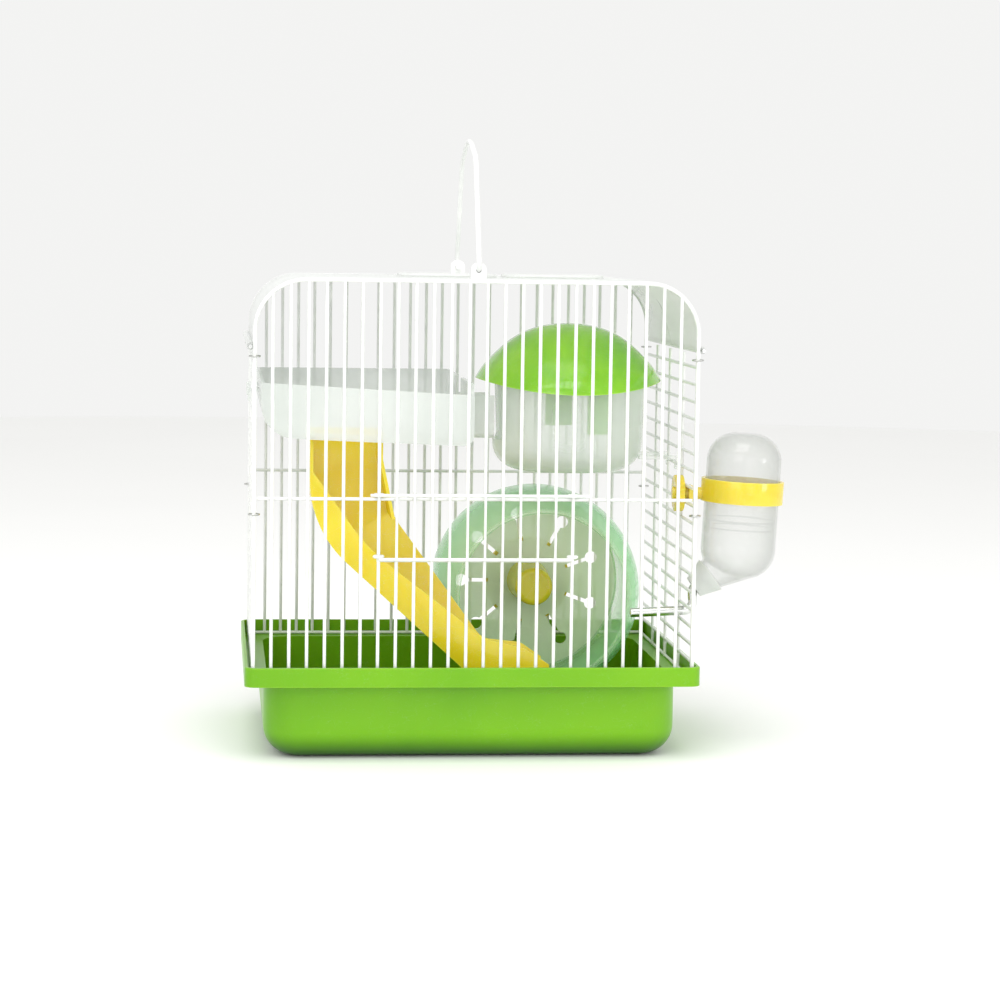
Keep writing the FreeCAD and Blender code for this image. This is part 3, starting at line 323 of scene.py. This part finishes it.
def frostedPlastic(name, look):
    # see-through moulding: clearer face on, denser at a glancing angle where the wall is seen edge on
    material = mouldedPlastic(name, look)
    tree = material.node_tree
    shader = tree.nodes["Principled BSDF"]
    glance = tree.nodes.new("ShaderNodeLayerWeight")
    glance.inputs["Blend"].default_value = look["glance"]
    cover = tree.nodes.new("ShaderNodeMapRange")
    cover.inputs["To Min"].default_value = look["faceOn"]
    cover.inputs["To Max"].default_value = look["edgeOn"]
    tree.links.new(glance.outputs["Facing"], cover.inputs["Value"])
    tree.links.new(cover.outputs["Result"], shader.inputs["Alpha"])
    # rim tone mixed in at a glancing angle; on the bottle it is painted shade along the walls' edges
    if "rimTone" in look:
        colour = shader.inputs["Base Color"].links[0].from_socket
        tree.links.new(mixColour(tree, glance.outputs["Facing"], colour, look["rimTone"]),
                       shader.inputs["Base Color"])
    return material


def brushedMetal(name, look):
    material = bpy.data.materials.new(name)
    material.use_nodes = True
    tree = material.node_tree
    shader = tree.nodes["Principled BSDF"]
    coords = tree.nodes.new("ShaderNodeTexCoord").outputs["Object"]
    stretch = tree.nodes.new("ShaderNodeMapping")
    stretch.inputs["Scale"].default_value = look["drawn"]
    tree.links.new(coords, stretch.inputs["Vector"])
    grain = placeGroup(tree, mouldGrain, stretch.outputs["Vector"], Flow_Scale=look.get("flowScale", 120.0),
                       Grain_Scale=1500.0, Grain_Share=0.8)
    scuffs = placeGroup(tree, handlingScuffs, coords, Scale=140.0, Amount=0.4)
    colour = mixColour(tree, grain.outputs["Flow"], look["deep"], look["bright"])
    tree.links.new(mixColour(tree, scuffs.outputs["Mask"], colour, (0.9, 0.9, 0.9, 1)),
                   shader.inputs["Base Color"])
    rough = mathNode(tree, "MULTIPLY_ADD", grain.outputs["Flow"], 0.25, look["rough"] - 0.12)
    tree.links.new(rough, shader.inputs["Roughness"])
    bump = tree.nodes.new("ShaderNodeBump")
    bump.inputs["Strength"].default_value, bump.inputs["Distance"].default_value = 0.2, 0.0001
    tree.links.new(grain.outputs["Height"], bump.inputs["Height"])
    tree.links.new(bump.outputs["Normal"], shader.inputs["Normal"])
    shader.inputs["Metallic"].default_value = 1.0
    return material


def dress(material, *nodeNames):
    for nodeName in nodeNames:
        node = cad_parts[nodeName]
        if not node.material_slots:
            node.data.materials.append(material)
        for place in node.material_slots:
            place.material = material


def softenNode(nodeName, pieceName, body, slotName, material, radius, steps=3, corner=28):
    # the CAD node's own shape with moulded, rounded corners
    bm = bmesh.new()
    bm.from_mesh(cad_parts[nodeName].data)
    bmesh.ops.remove_doubles(bm, verts=bm.verts, dist=0.00002)
    bmesh.ops.dissolve_limit(bm, angle_limit=math.radians(1.0), verts=bm.verts, edges=bm.edges)
    sharp = [edge for edge in bm.edges if edge.is_manifold and edge.calc_face_angle() > math.radians(corner)]
    bmesh.ops.bevel(bm, geom=sharp, offset=radius, segments=steps, affect="EDGES", profile=0.5, material=-1,
                    clamp_overlap=True)
    piece = finishPiece(bm, pieceName, material, 35)
    return rideAs(piece, body, slotName, nodeName)


# tray
trayLook = {
    "deep": shade(102, 166, 4), "bright": shade(120, 182, 8), "paintedEdgeTone": shade(164, 216, 60), "edges": 0.3,
    "rough": 0.3, "flowScale": 7.0, "bump": 0.3, "scuffs": 0.05, "dust": 0.03,
    # painted shade: a deep green laid over the lowest 17 mm of the tray
    "paintedFootShade": {"tone": shade(20, 76, 8), "from": 0.0, "to": 0.017, "share": 0.85},
    "shader": {"Subsurface Weight": 0.12, "Subsurface Scale": 0.006, "Specular IOR Level": 0.35},
}


def trayGreen():
    # painted shade: the green gets deeper towards the foot, standing in for the shadow under its rounded base
    material = mouldedPlastic("trayGreen", trayLook)
    tree = material.node_tree
    shader = tree.nodes["Principled BSDF"]
    height = tree.nodes.new("ShaderNodeSeparateXYZ")
    tree.links.new(tree.nodes.new("ShaderNodeTexCoord").outputs["Object"], height.inputs["Vector"])
    fade = tree.nodes.new("ShaderNodeMapRange")
    fade.interpolation_type = "SMOOTHSTEP"
    fade.inputs["From Min"].default_value = trayLook["paintedFootShade"]["to"]
    fade.inputs["From Max"].default_value = trayLook["paintedFootShade"]["from"]
    fade.inputs["To Max"].default_value = trayLook["paintedFootShade"]["share"]
    tree.links.new(height.outputs["Z"], fade.inputs["Value"])
    colour = shader.inputs["Base Color"].links[0].from_socket
    tree.links.new(mixColour(tree, fade.outputs["Result"], colour, trayLook["paintedFootShade"]["tone"]),
                   shader.inputs["Base Color"])
    return material


dress(trayGreen(), "base_tray")
print("tray dressed")

# coated wire
wireLook = {
    "deep": shade(224, 226, 224), "bright": shade(242, 243, 241), "rough": 0.3, "flowScale": 60.0,
    "grainScale": 2200.0, "grainShare": 0.8, "bump": 0.35, "scuffs": 0.15, "scuffTone": shade(200, 200, 196),
    "dust": 0.06, "shader": {"Coat Weight": 0.25},
}
wireWhite = mouldedPlastic("wireWhite", wireLook)
dress(wireWhite, "front_panel", "back_panel", "left_panel", "right_panel", "carry_handle", "front_door")
print("wire coated")

# roof cover
coverLook = {
    "deep": shade(224, 227, 224), "bright": shade(236, 238, 236), "paintedEdgeTone": shade(250, 250, 250),
    "edges": 0.4, "rough": 0.28, "flowScale": 8.0, "bump": 0.25, "scuffs": 0.15,
    "scuffTone": shade(205, 207, 207), "dust": 0.03, "faceOn": 0.42, "edgeOn": 0.85, "glance": 0.3,
    "shader": {"Coat Weight": 0.2},
}
dress(frostedPlastic("coverWhite", coverLook), "roof_cover")

# small parts in metal
rodLook = {"deep": shade(190, 192, 191), "bright": shade(240, 241, 240), "rough": 0.25, "drawn": (40, 1, 40)}
ringLook = {"deep": shade(168, 169, 166), "bright": shade(214, 215, 212), "rough": 0.32, "drawn": (8, 8, 8)}
spoutLook = {"deep": shade(206, 208, 207), "bright": shade(246, 247, 246), "rough": 0.16,
             "drawn": (1, 30, 30)}
dress(brushedMetal("rodSteel", rodLook), "edge_rods")
dress(brushedMetal("ringSteel", ringLook), "hog_rings")
dress(brushedMetal("spoutSteel", spoutLook), "spout_tube")
dress(brushedMetal("ballSteel", {**spoutLook, "drawn": (3, 3, 3)}), "spout_ball")

eyeLook = {"deep": shade(228, 229, 228), "bright": shade(246, 246, 245), "rough": 0.35, "bump": 0.3,
           "flowScale": 90.0, "edges": 0.4, "paintedEdgeTone": shade(252, 252, 252), "scuffs": 0.1}
dress(mouldedPlastic("eyeWhite", eyeLook), "handle_eyes")
print("metal parts dressed")

# upper shelf
shelfLook = {
    "deep": shade(232, 238, 233), "bright": shade(243, 246, 243), "paintedEdgeTone": shade(252, 254, 252),
    "edges": 0.4, "rough": 0.22, "flowScale": 10.0, "bump": 0.25, "scuffs": 0.15,
    "scuffTone": shade(210, 214, 212), "dust": 0.02, "faceOn": 0.5, "edgeOn": 0.85, "glance": 0.3,
    "rimTone": shade(232, 238, 234), "radius": 0.0009, "shader": {"Coat Weight": 0.3},
}
softenNode("shelf_tub", "shelfTub", "cage", "shelf_white", frostedPlastic("shelfWhite", shelfLook),
           shelfLook["radius"])

# sleeping hut
bowlLook = {
    "deep": shade(240, 247, 241), "bright": shade(250, 253, 250), "rough": 0.2, "flowScale": 16.0,
    "bump": 0.25, "scuffs": 0.08, "dust": 0.0, "faceOn": 0.27, "edgeOn": 0.85, "glance": 0.3,
    "rimTone": shade(214, 230, 210),
    "shader": {"Coat Weight": 0.3, "Coat Roughness": 0.1},
}
hatLook = {
    "deep": shade(112, 188, 14), "bright": shade(148, 212, 34), "paintedEdgeTone": shade(196, 238, 110),
    "edges": 0.5,
    "rough": 0.16, "flowScale": 22.0, "bump": 0.5, "bumpDepth": 0.0009, "grainShare": 0.03, "scuffs": 0.12,
    "dust": 0.05,
    "shader": {"Subsurface Weight": 0.2, "Subsurface Scale": 0.006, "Coat Weight": 0.5,
               "Coat Roughness": 0.06},
}
dress(frostedPlastic("hutFrosted", bowlLook), "hut_bowl")
dress(mouldedPlastic("hatGreen", hatLook), "hut_roof")
print("hut dressed")

# slide
slideLook = {
    "deep": shade(234, 208, 20), "bright": shade(250, 228, 48), "paintedEdgeTone": shade(255, 246, 130),
    "edges": 0.4,
    "rough": 0.22, "flowScale": 11.0, "bump": 0.3, "scuffs": 0.15, "dust": 0.05, "radius": 0.0012,
    "shader": {"Subsurface Weight": 0.2, "Subsurface Scale": 0.008, "Coat Weight": 0.25},
}
slideYellow = mouldedPlastic("slideYellow", slideLook)
softenNode("slide_chute", "slideChute", "cage", "slide_yellow", slideYellow, slideLook["radius"])
print("slide moulded")

# running wheel
drumLook = {
    "deep": shade(210, 251, 200), "bright": shade(228, 254, 220), "rough": 0.16, "flowScale": 16.0,
    "bump": 0.25, "scuffs": 0.12, "dust": 0.0, "faceOn": 0.2, "edgeOn": 0.8, "glance": 0.3,
    "rimTone": shade(126, 238, 152), "shader": {"Coat Weight": 0.3, "Coat Roughness": 0.08},
}
discLook = {
    "deep": shade(232, 247, 214), "bright": shade(244, 252, 232), "rough": 0.26, "flowScale": 16.0,
    "bump": 0.2, "scuffs": 0.12, "dust": 0.0, "faceOn": 0.72, "edgeOn": 0.95, "glance": 0.3,
}
hubLook = {**slideLook, "deep": shade(204, 192, 20), "bright": shade(226, 212, 44)}
dress(frostedPlastic("wheelGreen", drumLook), "wheel_drum")
dress(frostedPlastic("wheelFrosted", discLook), "wheel_disc")
dress(mouldedPlastic("hubYellow", hubLook), "wheel_hub")
dress(mouldedPlastic("mountYellow", {**hubLook, "rough": 0.35}), "wheel_mount")
print("wheel dressed")

# water bottle
bottleLook = {
    "deep": shade(206, 209, 205), "bright": shade(220, 223, 219), "rough": 0.08, "roughSpread": 0.05,
    "flowScale": 26.0, "bump": 0.35, "bumpDepth": 0.0006, "grainShare": 0.02, "scuffs": 0.05, "dust": 0.0,
    # the dark grey rim tone is painted shade, standing in for the dark refracted edges of the clear walls
    "faceOn": 0.14, "edgeOn": 0.95, "glance": 0.14, "rimTone": shade(96, 101, 99),
    "shader": {"Coat Weight": 1.0, "Coat Roughness": 0.03, "Specular IOR Level": 0.8},
    "marks": {"levels": (0.1357, 0.1405), "lean": 0.05, "middle": 0.1648, "half": 0.0005,
              "tone": shade(150, 155, 152), "tint": 0.5, "cover": 0.26},
}
capLook = {"deep": shade(212, 216, 212), "bright": shade(228, 231, 227), "rough": 0.36, "bump": 0.3,
           "edges": 0.4, "paintedEdgeTone": shade(240, 241, 241), "flowScale": 60.0, "scuffs": 0.1,
           "faceOn": 0.75, "edgeOn": 1.0, "glance": 0.4}
bandLook = {**slideLook, "deep": shade(232, 206, 40), "bright": shade(246, 224, 66), "flowScale": 40.0,
            "radius": 0.0007, "faceOn": 0.82, "edgeOn": 1.0, "glance": 0.4}


def bottleClear():
    # fill marks moulded round the bottle, square to its leaning axis
    material = frostedPlastic("bottleClear", bottleLook)
    tree, marks = material.node_tree, bottleLook["marks"]
    shader = tree.nodes["Principled BSDF"]
    place = tree.nodes.new("ShaderNodeSeparateXYZ")
    tree.links.new(tree.nodes.new("ShaderNodeTexCoord").outputs["Object"], place.inputs["Vector"])
    across = mathNode(tree, "SUBTRACT", place.outputs["X"], marks["middle"])
    level = mathNode(tree, "MULTIPLY_ADD", across, marks["lean"], place.outputs["Z"])
    lines = 0.0
    for height in marks["levels"]:
        lines = mathNode(tree, "MAXIMUM", lines, mathNode(tree, "COMPARE", level, height, marks["half"]))
    colour = shader.inputs["Base Color"].links[0].from_socket
    tree.links.new(mixColour(tree, mathNode(tree, "MULTIPLY", lines, marks["tint"]), colour, marks["tone"]),
                   shader.inputs["Base Color"])
    cover = shader.inputs["Alpha"].links[0].from_socket
    tree.links.new(mathNode(tree, "MAXIMUM", cover, mathNode(tree, "MULTIPLY", lines, marks["cover"])),
                   shader.inputs["Alpha"])
    return material


dress(bottleClear(), "bottle_shell")
dress(frostedPlastic("capGrey", capLook), "bottle_cap")
bandYellow = frostedPlastic("bandYellow", bandLook)
softenNode("bottle_band", "bottleBand", "bottle", "band_yellow", bandYellow, bandLook["radius"], 2)
softenNode("band_nut", "bandNut", "nut", "band_yellow", bandYellow, bandLook["radius"], 2)
print("bottle dressed")
